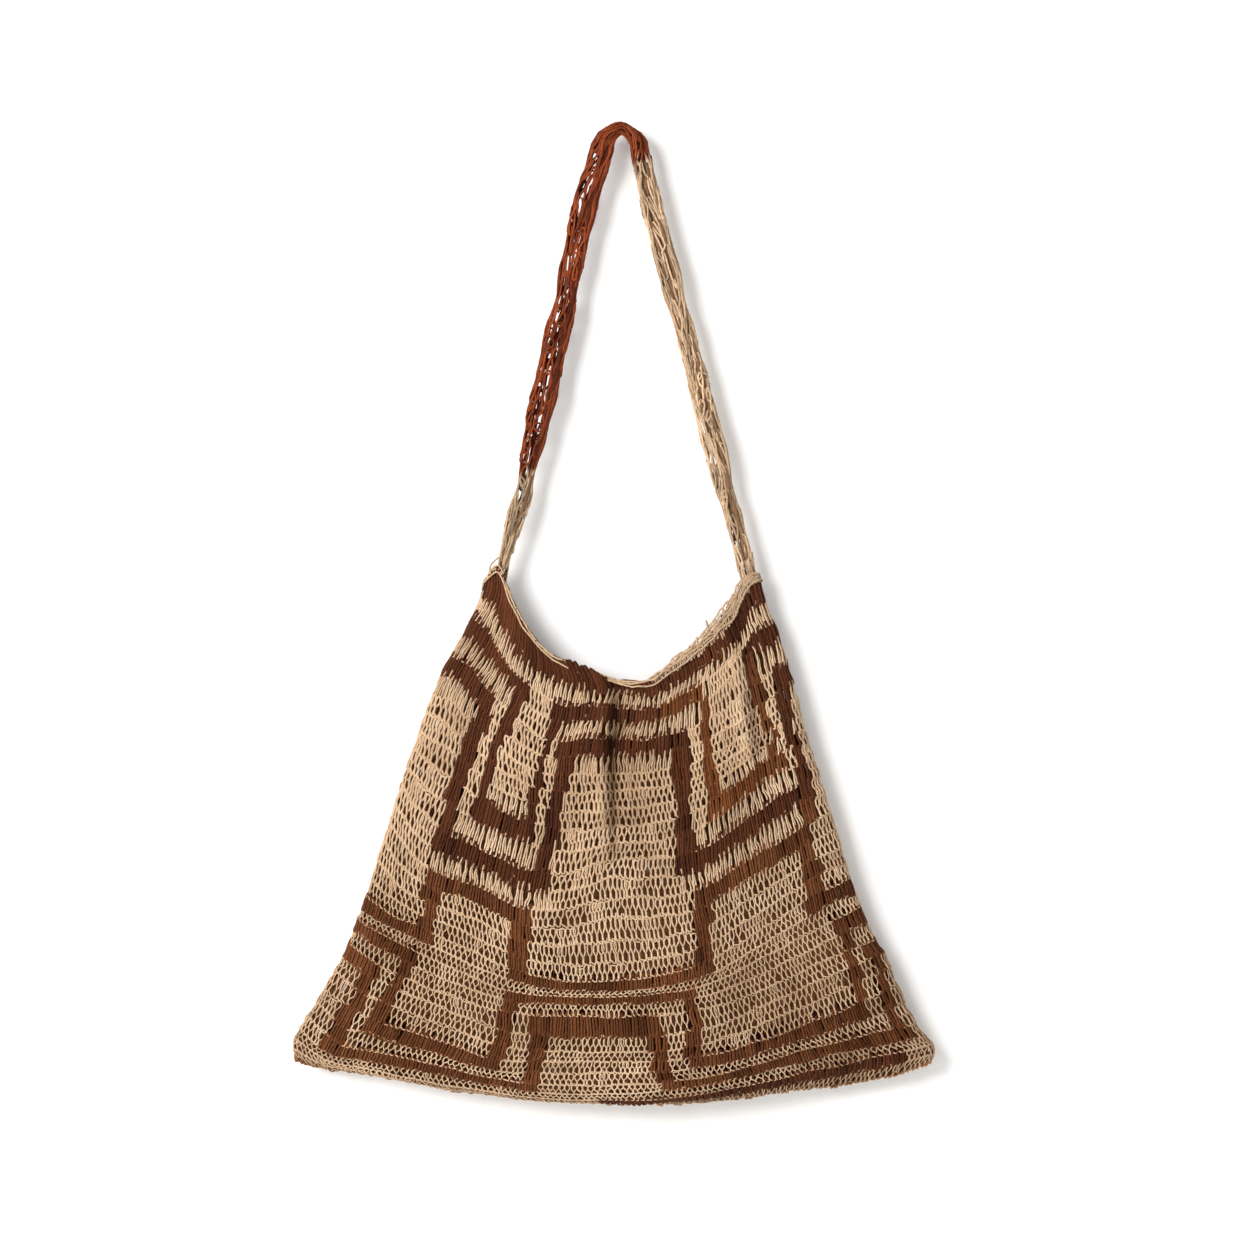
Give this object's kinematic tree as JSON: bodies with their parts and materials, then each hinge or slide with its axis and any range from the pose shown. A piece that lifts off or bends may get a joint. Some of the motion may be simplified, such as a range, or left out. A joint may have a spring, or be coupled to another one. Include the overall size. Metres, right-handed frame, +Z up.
{
  "type": "bilum string bag",
  "caption": "Flared open-mouthed bag of looped string with nested stepped brown stripes, a looped edging and a long strap rolled lengthwise, hanging empty from the strap's bend.",
  "frame": {"origin": "under the inside of the strap's bend, where it rests on the peg or hook that holds it", "axes": "+Z up, +X to the viewer's right, the front faces -Y and the side that leans on a wall faces +Y"},
  "size_m": [0.3988, 0.0337, 0.6091],
  "materials": {
    "net_string": "matte twisted plant-fibre string, tan with brown stripes worked in",
    "edging_string": "matte twisted plant-fibre string, tan",
    "strap_string": "matte twisted plant-fibre string, rust brown over the bend and tan towards both ends"
  },
  "bodies": {
    "root": {"bag_body": "net_string", "mouth_edging": "edging_string", "strap": "strap_string"}
  },
  "joints": []
}
